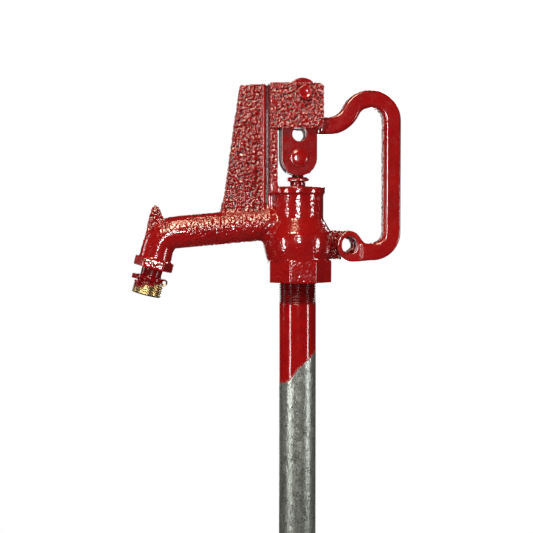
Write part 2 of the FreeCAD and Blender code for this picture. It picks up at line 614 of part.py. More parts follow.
def rod_line():
    round_bar("stem", "stem_radius", "coupling_low_h + 20", "100.5", HEAD)
    coupling = new_body("rod_coupling", HEAD + " + coupling_low_h")
    six = sketch_on(coupling, "XY_Plane")
    hexagon(six, "16")
    pad(coupling, six, "coupling_length")
    lower = sketch_on(coupling, "XY_Plane")
    circle(lower, "0", "0", "rod_radius")
    pocket(coupling, lower, "14", back=True)
    upper = sketch_on(coupling, "XY_Plane", ("0", "0", "coupling_length"))
    circle(upper, "0", "0", "stem_radius")
    pocket(coupling, upper, "16")
    disc_top = "seat_low + seat_height + disc_gap + disc_thickness"
    round_bar("operating_rod", "rod_radius", disc_top + " + 12", HEAD + " + coupling_low_h + 14")


def plunger_set():
    low = "seat_low + seat_height + disc_gap"
    top = low + " + disc_thickness"
    seal = new_body("plunger_disc")
    revolve(seal, [("2.6", low), ("plunger_radius + 0.6", low), ("plunger_radius + 0.6", top), ("2.6", top)])
    body = new_body("plunger_body")
    revolve(body, [("0", top), ("plunger_radius", top), ("plunger_radius", top + " + plunger_length"),
                   ("0", top + " + plunger_length")])
    cross = sketch_on(body, "XY_Plane", ("0", "0", top + " + 2"))
    reach, half = "valve_bore - running_gap - 0.1", "2"
    corners = []
    for k in range(4):
        for along, across in ((half, "-" + half), (reach, "-" + half), (reach, half)):
            c, s = round(math.cos(math.pi / 2 * k)), round(math.sin(math.pi / 2 * k))
            corners.append(("%d * (%s) - %d * (%s)" % (c, along, s, across),
                            "%d * (%s) + %d * (%s)" % (s, along, c, across)))
    outline(cross, corners)
    pad(body, cross, "plunger_length - 4")
    bore = sketch_on(body, "XY_Plane", ("0", "0", top + " + 12"))
    circle(bore, "0", "0", "rod_radius")
    pocket(body, bore, "plunger_length", back=True)
    tapped = sketch_on(body, "XY_Plane", ("0", "0", top))
    circle(tapped, "0", "0", "2.6")
    pocket(body, tapped, "8", back=True)
    screw = new_body("plunger_screw")
    revolve(screw, [("0", low + " - 3"), ("5", low + " - 3"), ("5", low), ("2.6", low), ("2.6", top + " + 8"),
                    ("0", top + " + 8")])


# ------------------------------------------------- riser and foot valve
def riser_pipe():
    low = "valve_height - socket_depth"
    high = HEAD + " + socket_depth"
    body = tube("riser_pipe", "riser_od / 2", "riser_id / 2", low, high)
    notch = sketch_on(body, "XZ_Plane")
    crest, root = "riser_od / 2 + 0.2", "riser_od / 2 - thread_depth"
    base = HEAD + " - 0.9"
    outline(notch, [(crest, base + " - 0.95"), (root, base), (crest, base + " + 0.7")])
    groove = feature(body, "Groove", notch, ReferenceAxis=(notch, ["V_Axis"]), Angle=360.0)
    threads = body.newObject("PartDesign::LinearPattern", "riser_threads")
    threads.Originals = [groove]
    threads.Direction = (notch, ["V_Axis"])
    threads.Reversed = True
    drive(threads, "Length", "thread_pitch * (exposed_threads - 1)")
    body.Tip = threads
    threads.Occurrences = int(number("exposed_threads"))
    doc.recompute()


def valve_body():
    body = new_body("valve_body")
    six = sketch_on(body, "XY_Plane")
    hexagon(six, "inlet_flats")
    pad(body, six, "inlet_hex_height")
    revolve(body, [("0", "4"), ("18", "4"), ("18", "24"), ("19.4", "28"), ("19.4", "62"), ("22", "70"),
                   ("22", "valve_height"), ("0", "valve_height")])
    revolve(body, [("0", "-1"), ("inlet_radius", "-1"), ("inlet_radius", "inlet_depth"), ("9", "inlet_depth"),
                   ("9", "seat_low"), ("valve_bore", "seat_low"),
                   ("valve_bore", "valve_height - socket_depth - 2"),
                   ("riser_id / 2", "valve_height - socket_depth"),
                   ("riser_od / 2", "valve_height - socket_depth"),
                   ("riser_od / 2", "valve_height + 1"), ("0", "valve_height + 1")], "Groove")
    port = sketch_on(body, "YZ_Plane", ("0", "drain_height", "10"))
    circle(port, "0", "0", "4.5")
    pocket(body, port, "15", back=True)


def valve_seat():
    tube("valve_seat", "valve_bore", "seat_bore", "seat_low", "seat_low + seat_height")


def drain_fitting():
    body = new_body("drain_fitting")
    shank = sketch_on(body, "YZ_Plane", ("0", "drain_height", "15.8"))
    circle(shank, "0", "0", "4.5")
    circle(shank, "0", "0", "2")
    pad(body, shank, "6")
    six = sketch_on(body, "YZ_Plane", ("0", "drain_height", "19.5"))
    hexagon(six, "11", 30.0)
    circle(six, "0", "0", "2")
    pad(body, six, "4")


head_casting()
hose_nozzle()
packing_set()
pivot_set()
handle_lever()
pivot_bushing()
link_plate("link_front", "-(link_inner + link_thickness)")
link_plate("link_rear", "link_inner")
link_pins()
stem_eye()
rod_line()
plunger_set()
riser_pipe()
valve_body()
valve_seat()
drain_fitting()
doc.recompute()

# ------------------------------------------------------- checks and export
for obj in doc.Objects:
    if "Invalid" in obj.State or "Error" in obj.State:
        raise RuntimeError("%s did not build: %s" % (obj.Name, obj.State))

os.makedirs("parts", exist_ok=True)
for body in doc.findObjects("PartDesign::Body"):
    if body.Shape.isNull() or not body.Shape.isValid() or not body.Shape.Solids:
        raise RuntimeError("%s has no valid solid" % body.Label)
    body.Shape.exportStep("parts/%s.step" % body.Label)
    print("%-18s %9.1f mm3  %d solid" % (body.Label, body.Shape.Volume, len(body.Shape.Solids)))
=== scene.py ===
# Looks of the yard hydrant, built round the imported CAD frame. Metres, in the frame of the CAD;
# profiles and places on the head are given in millimetres.
import json
import math

import bmesh
import bpy
import numpy as np
from mathutils import Matrix, Vector, noise


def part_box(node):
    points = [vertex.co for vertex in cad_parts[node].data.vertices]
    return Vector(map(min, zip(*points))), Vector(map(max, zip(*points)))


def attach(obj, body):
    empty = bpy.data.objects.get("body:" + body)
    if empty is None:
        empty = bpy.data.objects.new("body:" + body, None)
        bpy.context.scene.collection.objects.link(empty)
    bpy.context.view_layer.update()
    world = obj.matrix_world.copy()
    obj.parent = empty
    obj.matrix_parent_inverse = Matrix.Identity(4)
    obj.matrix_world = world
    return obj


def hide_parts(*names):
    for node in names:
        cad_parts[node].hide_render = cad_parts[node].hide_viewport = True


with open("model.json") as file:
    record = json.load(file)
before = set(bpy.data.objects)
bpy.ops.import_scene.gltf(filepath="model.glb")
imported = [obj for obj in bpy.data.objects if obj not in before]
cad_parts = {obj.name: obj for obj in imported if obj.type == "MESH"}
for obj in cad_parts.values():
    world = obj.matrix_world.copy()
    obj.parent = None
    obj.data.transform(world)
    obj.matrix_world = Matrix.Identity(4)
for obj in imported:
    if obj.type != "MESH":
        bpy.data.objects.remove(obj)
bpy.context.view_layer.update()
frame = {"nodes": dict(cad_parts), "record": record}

MM = 0.001
NODES = frame["nodes"]
HEAD_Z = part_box("head_casting")[0].z      # underside of the head's octagonal base


def head(x, y, h):
    """A point given in millimetres from the centre of the head's underside."""
    return Vector((x * MM, y * MM, HEAD_Z + h * MM))


# ------------------------------------------------------------------ meshes
RELAX_STEP = 0.6         # share of the way to its neighbours' middle that a point moves in one pass


def add_object(name, mesh, body, slot, *nodes, material):
    """Puts a smooth-shaded mesh on a body in place of CAD nodes; the slot argument is not used."""
    obj = bpy.data.objects.new(name, mesh)
    bpy.context.scene.collection.objects.link(obj)
    mesh.polygons.foreach_set("use_smooth", [True] * len(mesh.polygons))
    mesh.materials.clear()
    mesh.materials.append(material)
    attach(obj, body)
    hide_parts(*nodes)


def remeshed(sources, voxel):
    """One closed skin round copies of some meshes, as a new mesh."""
    bm = bmesh.new()
    for source in sources:
        bm.from_mesh(source)
    raw = bpy.data.meshes.new("raw")
    bm.to_mesh(raw)
    bm.free()
    obj = bpy.data.objects.new("raw", raw)
    bpy.context.scene.collection.objects.link(obj)
    modifier = obj.modifiers.new("skin", "REMESH")
    modifier.mode = "VOXEL"
    modifier.voxel_size = voxel
    bpy.context.view_layer.update()
    mesh = bpy.data.meshes.new_from_object(obj.evaluated_get(bpy.context.evaluated_depsgraph_get()))
    bpy.data.objects.remove(obj)
    bpy.data.meshes.remove(raw)
    return mesh


def coords(mesh):
    co = np.empty(len(mesh.vertices) * 3, np.float64)
    mesh.vertices.foreach_get("co", co)
    return co.reshape(-1, 3)


def normals(mesh):
    no = np.empty(len(mesh.vertices) * 3, np.float64)
    mesh.vertices.foreach_get("normal", no)
    return no.reshape(-1, 3)


def set_coords(mesh, co):
    mesh.vertices.foreach_set("co", co.astype(np.float32).ravel())
    mesh.update()


def relax(mesh, passes, weight=None):
    """Laplacian smoothing: rounds the edges the way a sand casting's are rounded."""
    pairs = np.empty(len(mesh.edges) * 2, np.int64)
    mesh.edges.foreach_get("vertices", pairs)
    a, b = pairs.reshape(-1, 2).T
    co = coords(mesh)
    count = len(co)
    degree = np.bincount(a, minlength=count) + np.bincount(b, minlength=count)
    degree = np.maximum(degree, 1)
    amount = RELAX_STEP if weight is None else (RELAX_STEP * weight)[:, None]
    for _ in range(passes):
        total = np.empty_like(co)
        for k in range(3):
            total[:, k] = (np.bincount(a, co[b, k], count) + np.bincount(b, co[a, k], count)) / degree
        co += amount * (total - co)
    set_coords(mesh, co)


def put_attribute(mesh, name, values):
    """One number per vertex, for the materials to read."""
    layer = mesh.attributes.new(name, "FLOAT", "POINT")
    layer.data.foreach_set("value", np.asarray(values, np.float32))


def rings_mesh(name, rows, closed=False):
    """A mesh through rings of equally many points; closed joins the last ring to the first."""
    n = len(rows[0])
    verts = [tuple(p) for row in rows for p in row]
    faces = []
    count = len(rows)
    for i in range(count if closed else count - 1):
        lo, hi = i * n, ((i + 1) % count) * n
        for j in range(n):
            k = (j + 1) % n
            faces.append((lo + j, lo + k, hi + k, hi + j))
    if not closed:
        faces.append(tuple(reversed(range(n))))
        faces.append(tuple(range((count - 1) * n, count * n)))
    mesh = bpy.data.meshes.new(name)
    mesh.from_pydata(verts, [], faces)
    bm = bmesh.new()
    bm.from_mesh(mesh)
    bmesh.ops.recalc_face_normals(bm, faces=bm.faces)
    bm.to_mesh(mesh)
    bm.free()
    return mesh


def turned(name, profile, place=Matrix.Identity(4), segments=96, closed=True):
    """Turns rows of (height, radius or radius function of the angle), in mm, round the local Z."""
    rows = []
    for z, radius in profile:
        ring = []
        for j in range(segments):
            t = 2 * math.pi * j / segments
            r = radius(t) if callable(radius) else radius
            ring.append(place @ Vector((r * math.cos(t) * MM, r * math.sin(t) * MM, z * MM)))
        rows.append(ring)
    return rings_mesh(name, rows, closed=closed)


FIRST_CORNER = math.radians(30)      # hexagons stand with a corner this far from the local X


def hexagon(flats, limit):
    """The radius of a hexagon at each angle, turned down to a limit as on a chamfered nut."""
    def radius(t):
        u = (t - FIRST_CORNER + math.pi / 6) % (math.pi / 3) - math.pi / 6
        u = abs(abs(u) - math.pi / 6)
        return min(flats / 2 / math.cos(u), limit)
    return radius


PIPE_PITCH = 2.209       # mm, 11.5 threads per inch, for the pipe and the hose end alike
FADE_POWER = 0.6         # how soon a thread reaches full depth over its run-out
CREST_POWER = 1.3        # above 1, crests are broader than roots


def thread_rows(z0, z1, radius, depth, pitch=PIPE_PITCH, steps=10, run_out=1.5):
    """Rows of a helical thread between two heights; it fades out over run_out turns at both ends."""
    rows = []
    count = max(2, int(abs(z1 - z0) / pitch * steps))
    for i in range(count + 1):
        z = z0 + (z1 - z0) * i / count
        edge = min(abs(z - z0), abs(z1 - z)) / (run_out * pitch)
        fade = min(1.0, edge) ** FADE_POWER if edge > 0 else 0.0

        def at(t, z=z, fade=fade):
            u = (z / pitch - t / (2 * math.pi)) % 1.0
            wave = 0.5 - 0.5 * math.cos(2 * math.pi * u)
            return radius - depth * fade * wave ** CREST_POWER
        rows.append((z, at))
    return rows


# --------------------------------------------------------------- materials
class Shader:
    """A short way to write a node tree."""

    def __init__(self, name):
        self.material = bpy.data.materials.new(name)
        self.material.use_nodes = True
        self.tree = self.material.node_tree
        self.tree.nodes.clear()
        self.out = self.tree.nodes.new("ShaderNodeOutputMaterial")
        self.main = self.tree.nodes.new("ShaderNodeBsdfPrincipled")
        self.link(self.main.outputs["BSDF"], self.out.inputs["Surface"])
        self.place = self.tree.nodes.new("ShaderNodeTexCoord").outputs["Object"]

    def link(self, a, b):
        self.tree.links.new(a, b)

    def give(self, socket, value):
        """Links another node's output or sets a plain value."""
        if isinstance(value, bpy.types.NodeSocket):
            self.link(value, socket)
        elif value is not None:
            socket.default_value = value

    def scaled(self, scale):
        """Object coordinates stretched by (x, y, z)."""
        node = self.tree.nodes.new("ShaderNodeMapping")
        node.inputs["Scale"].default_value = scale
        self.link(self.place, node.inputs["Vector"])
        return node.outputs["Vector"]

    def noise(self, scale, detail=3.0, rough=0.5, vector=None, warp=0.0):
        node = self.tree.nodes.new("ShaderNodeTexNoise")
        node.inputs["Scale"].default_value = scale
        node.inputs["Detail"].default_value = detail
        node.inputs["Roughness"].default_value = rough
        node.inputs["Distortion"].default_value = warp
        self.link(vector or self.place, node.inputs["Vector"])
        return node.outputs["Fac"]

    def cells(self, scale):
        """Distance to the middle of rounded cells."""
        node = self.tree.nodes.new("ShaderNodeTexVoronoi")
        node.feature = "SMOOTH_F1"
        node.inputs["Scale"].default_value = scale
        self.link(self.place, node.inputs["Vector"])
        return node.outputs["Distance"]

    def attribute(self, name):
        node = self.tree.nodes.new("ShaderNodeAttribute")
        node.attribute_name = name
        return node.outputs["Fac"]

    def pointiness(self):
        """Above a half on edges that stand out."""
        return self.tree.nodes.new("ShaderNodeNewGeometry").outputs["Pointiness"]

    def axis(self, letter):
        node = self.tree.nodes.new("ShaderNodeSeparateXYZ")
        self.link(self.place, node.inputs[0])
        return node.outputs[letter]

    def math(self, operation, a, b=None, clamp=False):
        node = self.tree.nodes.new("ShaderNodeMath")
        node.operation = operation
        node.use_clamp = clamp
        self.give(node.inputs[0], a)
        self.give(node.inputs[1], b)
        return node.outputs[0]

    def fit(self, value, low, high, out_low=0.0, out_high=1.0):
        """Stretches low..high to out_low..out_high, held at both ends."""
        node = self.tree.nodes.new("ShaderNodeMapRange")
        self.give(node.inputs["Value"], value)
        limits = {"From Min": low, "From Max": high, "To Min": out_low, "To Max": out_high}
        for key, number in limits.items():
            node.inputs[key].default_value = number
        return node.outputs["Result"]

    def mix(self, factor, a, b):
        """Between two colours."""
        node = self.tree.nodes.new("ShaderNodeMix")
        node.data_type = "RGBA"
        self.give(node.inputs[0], factor)
        for socket, value in ((node.inputs[6], a), (node.inputs[7], b)):
            self.give(socket, (*value, 1.0) if isinstance(value, tuple) else value)
        return node.outputs[2]

    def blend(self, factor, a, b):
        """Between two numbers."""
        node = self.tree.nodes.new("ShaderNodeMix")
        self.give(node.inputs[0], factor)
        self.give(node.inputs[2], a)
        self.give(node.inputs[3], b)
        return node.outputs[0]

    def bump(self, height, strength, distance, under=None):
        """A normal for a height, laid over another normal if there is one."""
        node = self.tree.nodes.new("ShaderNodeBump")
        node.inputs["Strength"].default_value = strength
        node.inputs["Distance"].default_value = distance
        self.link(height, node.inputs["Height"])
        if under is not None:
            self.link(under, node.inputs["Normal"])
        return node.outputs["Normal"]

    def finish(self, color, roughness, normal=None, metallic=0.0, **sockets):
        """Fills the shader's sockets; further ones are named with _ for a space."""
        self.give(self.main.inputs["Base Color"], color)
        self.give(self.main.inputs["Roughness"], roughness)
        self.give(self.main.inputs["Metallic"], metallic)
        if normal is not None:
            self.link(normal, self.main.inputs["Normal"])
        for key, value in sockets.items():
            self.main.inputs[key.replace("_", " ")].default_value = value
        return self.material


RED = (0.245, 0.0024, 0.0038)
RED_DEEP = (0.055, 0.001, 0.002)         # thick paint; spread more widely on the link plates as painted shade
RED_WARM = (0.315, 0.005, 0.004)         # thin paint
RED_EDGE_HIGHLIGHT = (0.46, 0.012, 0.010)          # painted highlight on sharp edges
RED_HOLLOW_SHADE = (0.034, 0.0009, 0.0013)     # painted shade between the casting's grains and in the groove beside the post
RED_THREAD_DARK = (0.050, 0.0012, 0.0016)      # darker paint in the exposed thread
TARNISH = (0.30, 0.18, 0.07)
LACQUER_ROUGH = 0.045                    # roughness of the paint's clear coat
MATT_HOLLOW = 0.10                       # how much duller the hollows are
EDGE_HIGHLIGHT = 0.35


def red_paint(name, pebbled=0.0, peel=0.25, coat=1.0, thick_paint_and_shade=0.35):
    """Gloss enamel: mottled where it is thick and thin, duller in the hollows and darkened there as painted
    shade, lighter on the edges as a painted highlight.
    """
    s = Shader(name)
    cloud = s.fit(s.noise(38.0, 4.0, 0.55), 0.35, 0.68)
    fine = s.fit(s.noise(520.0, 3.0, 0.6), 0.3, 0.7)
    color = s.mix(cloud, RED, RED_WARM)
    color = s.mix(s.math("MULTIPLY", fine, thick_paint_and_shade), color, RED_DEEP)
    rough = s.fit(s.noise(140.0, 3.0), 0.3, 0.7, 0.10, 0.22)
    normal = s.bump(s.noise(900.0, 2.0, 0.5), peel, 0.00016)
    if pebbled:
        hollow_shade = s.attribute("hollow_shade")
        # Painted shade: the hollows are drawn darker as well as duller.
        color = s.mix(s.math("MULTIPLY", hollow_shade, 0.92), color, RED_HOLLOW_SHADE)
        rough = s.math("ADD", rough, s.math("MULTIPLY", hollow_shade, MATT_HOLLOW))
        grain = s.math("MULTIPLY", s.cells(560.0), s.attribute("pebble"))
        normal = s.bump(grain, pebbled, 0.0004, normal)
    # Painted highlight: sharp edges are drawn a lighter red.
    edge = s.fit(s.pointiness(), 0.53, 0.60)
    color = s.mix(s.math("MULTIPLY", edge, EDGE_HIGHLIGHT), color, RED_EDGE_HIGHLIGHT)
    return s.finish(color, rough, normal, 0.0,
                    Coat_Weight=coat, Coat_Roughness=LACQUER_ROUGH, Specular_IOR_Level=0.5 * coat)


def brass(name, color=(0.83, 0.62, 0.27), dull=0.28, dirt=0.5):
    """Turned copper alloy: fine rings round Z under patches of tarnish."""
    s = Shader(name)
    stain = s.fit(s.noise(220.0, 5.0, 0.65), 0.38, 0.72)
    base = s.mix(s.math("MULTIPLY", stain, dirt), color, TARNISH)
    lines = s.noise(60.0, 2.0, 0.5, s.scaled((1.0, 1.0, 40.0)))
    rough = s.math("ADD", s.fit(stain, 0.0, 1.0, dull - 0.06, dull + 0.18), s.math("MULTIPLY", lines, 0.05))
    return s.finish(base, rough, s.bump(lines, 0.25, 0.0001), 1.0)


def steel(name, color=(0.60, 0.61, 0.62), dull=0.32, speck=0.4):
    """Plated or bare steel with duller patches."""
    s = Shader(name)
    patch = s.fit(s.noise(160.0, 4.0, 0.6), 0.35, 0.7)
    base = s.mix(s.math("MULTIPLY", patch, speck), color, (0.30, 0.30, 0.29))
    rough = s.fit(s.noise(420.0, 3.0), 0.3, 0.7, dull - 0.08, dull + 0.14)
    return s.finish(base, rough, s.bump(s.noise(1300.0, 3.0), 0.2, 0.0001), 1.0)


def rubber(name, color=(0.022, 0.022, 0.023)):
    """Dusty black stuff: rubber, and graphite packing in a lighter grey."""
    s = Shader(name)
    dust = s.fit(s.noise(300.0, 5.0, 0.7), 0.42, 0.75)
    base = s.mix(s.math("MULTIPLY", dust, 0.3), color, (0.10, 0.10, 0.095))
    rough = s.fit(dust, 0.0, 1.0, 0.55, 0.8)
    return s.finish(base, rough, s.bump(s.noise(2400.0, 3.0), 0.3, 0.00008))


def galvanised_colors(s):
    """Zinc: grey-green patches with long streaks down the pipe. Gives colour, roughness and height."""
    streak = s.fit(s.noise(90.0, 4.0, 0.6, s.scaled((1.0, 1.0, 0.06))), 0.36, 0.68)
    patch = s.fit(s.noise(75.0, 5.0, 0.65, warp=0.8), 0.36, 0.66)
    speckle = s.fit(s.noise(900.0, 3.0, 0.6), 0.35, 0.7)
    base = s.mix(patch, (0.17, 0.19, 0.16), (0.42, 0.455, 0.41))
    base = s.mix(s.math("MULTIPLY", streak, 0.8), base, (0.10, 0.118, 0.098))
    base = s.mix(s.math("MULTIPLY", speckle, 0.5), base, (0.66, 0.69, 0.65))
    pits = s.fit(s.noise(560.0, 4.0, 0.7), 0.53, 0.64)
    base = s.mix(s.math("MULTIPLY", pits, 0.8), base, (0.05, 0.055, 0.05))
    rough = s.fit(s.math("ADD", patch, speckle), 0.0, 2.0, 0.24, 0.42)
    lumps = s.noise(260.0, 4.0, 0.62, s.scaled((1.0, 1.0, 0.5)))
    height = s.math("ADD", lumps, s.math("MULTIPLY", streak, 0.3))
    return base, rough, height


# The riser's paint line, in metres.
PAINT_DROP = 0.0765              # how far it is below the head's underside, on the pipe's axis
PAINT_SLANT = 0.89               # its rise per metre of X
PAINT_WOBBLE = 0.0035
PAINT_FEATHER = 0.0002           # half the width of its edge
THIN_PAINT = 0.003               # how far above the line the paint is thin
SAG_X, SAG_WIDTH, SAG_DEPTH = -0.0100, 0.0046, 0.0038      # the run that hangs from it
THREAD_FOOT, THREAD_START = 0.0215, 0.0170                 # below the head: where the thread's darker paint begins, is full
BARE_METAL = 0.75                # below 1, as old zinc is part oxide


def riser_material():
    """Galvanised pipe whose top was dipped in red paint, to a slanting line."""
    s = Shader("riser_finish")
    base, rough, height = galvanised_colors(s)
    wobble = s.math("MULTIPLY", s.math("SUBTRACT", s.noise(120.0, 4.0, 0.6), 0.5), PAINT_WOBBLE)
    line = s.math("SUBTRACT", s.axis("Z"), s.math("MULTIPLY", s.axis("X"), PAINT_SLANT))
    sag = s.math("DIVIDE", s.math("ADD", s.axis("X"), -SAG_X), SAG_WIDTH)
    sag = s.math("EXPONENT", s.math("MULTIPLY", s.math("MULTIPLY", sag, sag), -1.0))
    line = s.math("ADD", s.math("ADD", line, wobble), s.math("MULTIPLY", sag, SAG_DEPTH))
    level = HEAD_Z - PAINT_DROP
    painted = s.fit(line, level - PAINT_FEATHER, level + PAINT_FEATHER)
    thin = s.fit(line, level, level + THIN_PAINT, 0.35, 0.0)
    thin = s.math("MULTIPLY", thin, s.fit(s.noise(700.0, 3.0), 0.45, 0.6))
    cloud = s.fit(s.noise(60.0, 4.0, 0.55), 0.35, 0.68)
    paint = s.mix(cloud, RED, RED_WARM)
    paint = s.mix(s.math("MULTIPLY", s.fit(s.noise(520.0, 3.0), 0.3, 0.7), 0.35), paint, RED_DEEP)
    thread = s.fit(s.axis("Z"), HEAD_Z - THREAD_FOOT, HEAD_Z - THREAD_START)
    thread_dark = s.math("MULTIPLY", thread, s.fit(s.noise(480.0, 4.0, 0.7), 0.30, 0.62, 0.25, 1.0))
    paint = s.mix(thread_dark, paint, RED_THREAD_DARK)
    painted = s.math("SUBTRACT", painted, s.math("MULTIPLY", thin, painted), clamp=True)
    color = s.mix(painted, base, paint)
    gloss = s.fit(s.noise(140.0, 3.0), 0.3, 0.7, 0.07, 0.15)
    gloss = s.math("ADD", gloss, s.math("MULTIPLY", thread_dark, 0.12))
    final = s.blend(painted, rough, gloss)
    metal = s.math("SUBTRACT", BARE_METAL, s.math("MULTIPLY", painted, BARE_METAL), clamp=True)
    rugged = s.math("MULTIPLY", height, s.fit(painted, 0.0, 1.0, 1.0, 0.12))
    return s.finish(color, final, s.bump(rugged, 0.85, 0.0007), metal)


# The nozzle's overspray ends at this height above its tip, along a line with this slope, in metres.
SPRAY_HEIGHT, SPRAY_SLOPE, SPRAY_FEATHER = 0.0112, 0.05, 0.0006
SPRAY_RAGGED = 0.016
NOZZLE_X = -0.1355


def nozzle_material():
    """Brass oversprayed red from above, bare towards the hose end."""
    s = Shader("nozzle_finish")
    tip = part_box("hose_nozzle")[0].z
    stain = s.fit(s.noise(260.0, 5.0, 0.65), 0.38, 0.7)
    metal = s.mix(stain, (1.0, 0.86, 0.50), (0.46, 0.29, 0.11))
    ragged = s.math("MULTIPLY", s.math("SUBTRACT", s.noise(330.0, 4.0, 0.65), 0.5), SPRAY_RAGGED)
    sloped = s.math("SUBTRACT", s.axis("Z"), s.math("MULTIPLY", s.axis("X"), SPRAY_SLOPE))
    height = s.math("ADD", sloped, ragged)
    level = tip + SPRAY_HEIGHT - SPRAY_SLOPE * NOZZLE_X
    painted = s.fit(height, level - SPRAY_FEATHER, level + SPRAY_FEATHER)
    paint = s.mix(s.fit(s.noise(420.0, 3.0), 0.3, 0.7), RED, RED_DEEP)
    color = s.mix(painted, metal, paint)
    rough = s.blend(painted, s.fit(stain, 0.0, 1.0, 0.20, 0.42), s.fit(stain, 0.0, 1.0, 0.10, 0.2))
    return s.finish(color, rough, s.bump(s.noise(800.0, 3.0), 0.3, 0.00015),
                    s.math("SUBTRACT", 1.0, painted, clamp=True))


STEM_PAINT_FOOT = 0.0885         # metres above the head's underside, inside the packing nut
STEM_FEATHER, STEM_RAGGED = 0.0008, 0.002


def stem_material():
    """Polished brass; the end that stands above the packing nut took paint with the head."""
    s = Shader("stem_finish")
    stain = s.fit(s.noise(220.0, 5.0, 0.65), 0.38, 0.72)
    metal = s.mix(s.math("MULTIPLY", stain, 0.2), (0.88, 0.68, 0.33), TARNISH)
    level = HEAD_Z + STEM_PAINT_FOOT
    edge = s.math("ADD", s.axis("Z"), s.math("MULTIPLY", s.noise(400.0, 3.0), STEM_RAGGED))
    painted = s.fit(edge, level, level + STEM_FEATHER)
    color = s.mix(painted, metal, s.mix(stain, RED, RED_DEEP))
    rough = s.fit(stain, 0.0, 1.0, 0.14, 0.30)
    return s.finish(color, rough, s.bump(s.noise(900.0, 2.0), 0.2, 0.0001),
                    s.math("SUBTRACT", 1.0, painted, clamp=True))


def rod_material():
    """The riser's zinc, smoother."""
    s = Shader("rod_zinc")
    base, rough, height = galvanised_colors(s)
    return s.finish(base, rough, s.bump(height, 0.25, 0.0002), 0.9)


CASTING = red_paint("casting_paint", pebbled=0.45)
LEVER = red_paint("lever_paint", pebbled=0.5, peel=0.35)
# The link plates' paint is drawn darker: painted shade, as they sit under the yoke.
SHADED_LINKS = red_paint("link_paint_shaded", peel=0.3, coat=0.5, thick_paint_and_shade=0.8)
FITTING = red_paint("fitting_paint", peel=0.2)
NOZZLE = nozzle_material()
RISER = riser_material()
BRASS = brass("turned_brass")
BRONZE = brass("cast_bronze", (0.62, 0.42, 0.20), 0.42, 0.7)
ZINC = steel("zinc_plate")
CLIP = steel("spring_steel", (0.26, 0.26, 0.27), 0.46)
RUBBER = rubber("moulded_rubber")
GRAPHITE = rubber("graphite_packing", (0.05, 0.05, 0.055))
ROD = rod_material()
STEM = stem_material()


# ------------------------------------------------------------- the casting
def smoothstep(low, high, value):
    t = np.clip((value - low) / (high - low), 0.0, 1.0)
    return t * t * (3 - 2 * t)


# The grain of the sand casting: cells with tilted tops and cracks between them, over a slow swell.
BEND, BEND_SCALE = 0.35, 0.8     # how far, in cells, and how slowly the cells are bent
TILT_SEED_SCALE = 7.3            # spreads the cells' centres over the grid the tilts are drawn from
CRACK, FACET, SWELL_SCALE = 0.5, 0.9, 0.98
MIDDLE, SURFACE = 0.25, 0.75     # added to the height; the height that stays where it was
HOLLOW_SHADE_RANGE = (0.32, -0.05)     # heights where the hollows' painted shade begins, and is full
GRAIN_SEED = 1
noise.seed_set(GRAIN_SEED)       # noise_vector takes its offset from the clock unless it is seeded


def pebbled(mesh, weight, cell, depth, raised=0.0):
    """Presses the casting's grain into a mesh; weight says where, per vertex. Returns the hollows, for the
    paint to darken as painted shade.
    """
    co, no = coords(mesh), normals(mesh)
    height = np.zeros(len(co))
    for i in np.nonzero(weight > 0.01)[0]:
        p = Vector(co[i]) / cell
        bent = p + BEND * noise.noise_vector(p * BEND_SCALE)
        near, centres = noise.voronoi(bent)
        tilt = noise.cell_vector(centres[0] * TILT_SEED_SCALE)
        crack = CRACK * (near[1] - near[0])
        facet = FACET * tilt.dot(bent - centres[0])
        height[i] = crack + facet + noise.noise(p * SWELL_SCALE)
    height = np.clip(MIDDLE + height, -0.5, 1.0)
    co -= no * ((SURFACE - height) * depth * weight - raised)[:, None]
    set_coords(mesh, co)
    put_attribute(mesh, "pebble", weight)
    return smoothstep(*HOLLOW_SHADE_RANGE, height) * weight


# The head in millimetres: X from the riser's axis towards the grip, heights above its underside.
# A range runs from where a thing starts to where it is full.
CASTING_VOXEL, CASTING_PASSES = 0.52 * MM, 7
JUNCTION, JUNCTION_WIDTH, JUNCTION_PASSES = (-32, 35), 5.5, 80      # spout into water chamber
WEB_FOOT_H, WEB_FOOT_WIDTH, WEB_FOOT_SHARE = 63, 3.0, 0.25          # web onto spout
WEB_FOOT_RIGHT, WEB_FOOT_LEFT = (-20, -24), (-76, -70)
MARKS_HALF_DEPTH = 9             # the web's marks lie within this of the middle plane
MARKS_FOOT = (66, 72)
SEAM_X, SEAM_WIDTH, SEAM_DEPTH = -28.3, 1.15, 1.9                   # groove between post and web
RIDGE_X, RIDGE_WIDTH, RIDGE_HEIGHT = -31.6, 0.9, 0.40               # raised line beside the groove
BEAD_X, BEAD_LEAN, BEAD_TOP, BEAD_END, BEAD_STEP = -39.5, 0.017, 153.0, 90.0, 8.7
BEAD_HALF_WIDTH, BEAD_HALF_HEIGHT, BEAD_HEIGHT, BEAD_EDGE = 2.3, 3.3, 0.80, (1.15, 0.75)
BEAD_CALM = 0.55                 # how much less rough the beads are than the web
WEB_FOOT, WEB_EDGE = (60, 68), (-31.5, -33.5)
YOKE_FOOT, POST_FOOT, POST_EDGE = (136, 139), (86, 92), (-27.5, -26.0)
HOOK_X, HOOK_FOOT = (-112, -120), (44, 52)
SPOUT_X, SPOUT_TOP, SPOUT_UPPER, SPOUT_UNDER = (-24, -34), (66, 60), (18, 40), (16, 12)
ELBOW_X, ELBOW_FOOT, ELBOW_CALM = (-94, -106), (15, 19), 0.62
LUG_X, LUG_TOP = (31, 34), 50
BALL_X, BALL_FOOT, BALL_TOP = (-28, -22), (-2, 4), (90, 82)
BASE_TOP, BASE_FLAT = (21, 19), (0.8, 0.95)
BORE_RADIUS, BORE_TOP = 14, 100  # nothing is rough inside this
